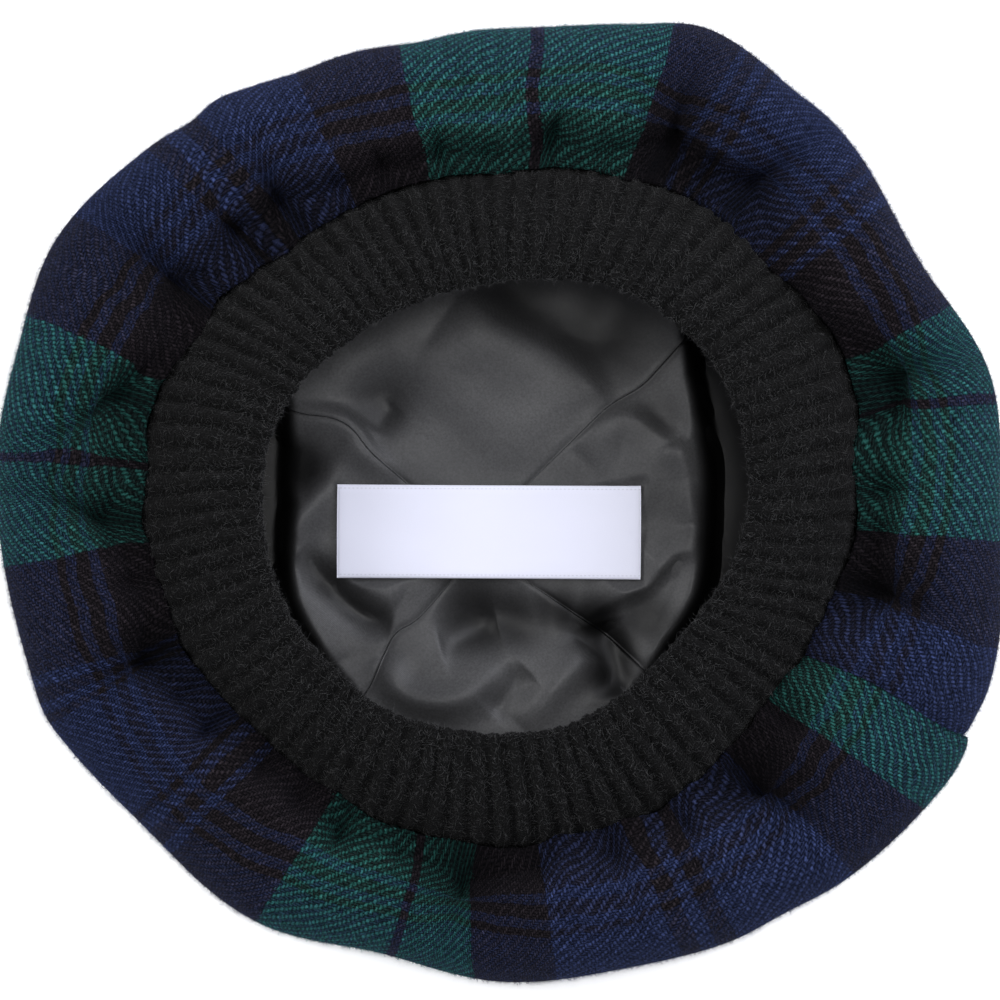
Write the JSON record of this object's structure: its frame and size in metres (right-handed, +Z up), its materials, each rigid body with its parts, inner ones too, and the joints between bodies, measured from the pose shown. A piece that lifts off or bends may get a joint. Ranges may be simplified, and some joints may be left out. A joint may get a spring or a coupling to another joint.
{
  "type": "tam o' shanter",
  "caption": "Tartan wool tam o' shanter lying on its crown, opening up: gathered underside, rib-knit headband, satin lining and a bare woven label.",
  "frame": {"origin": "middle of the flat face that the crown rests on", "axes": "+Z up out of the head opening, +X and +Y as they run in the picture, to the right and to the top"},
  "size_m": [0.2898, 0.2764, 0.0544],
  "materials": {
    "tartan_wool": "soft woven wool tartan of navy, green and black, with a short nap",
    "rib_knit": "fuzzy charcoal lambswool rib knit",
    "lining_satin": "smooth grey-black satin with a soft gloss",
    "label_satin": "bare white woven satin"
  },
  "bodies": {
    "root": {"crown": "tartan_wool", "underside": "tartan_wool", "rib_band": "rib_knit", "lining_gore_1": "lining_satin", "lining_gore_2": "lining_satin", "lining_gore_3": "lining_satin", "lining_gore_4": "lining_satin", "label": "label_satin"}
  },
  "joints": []
}
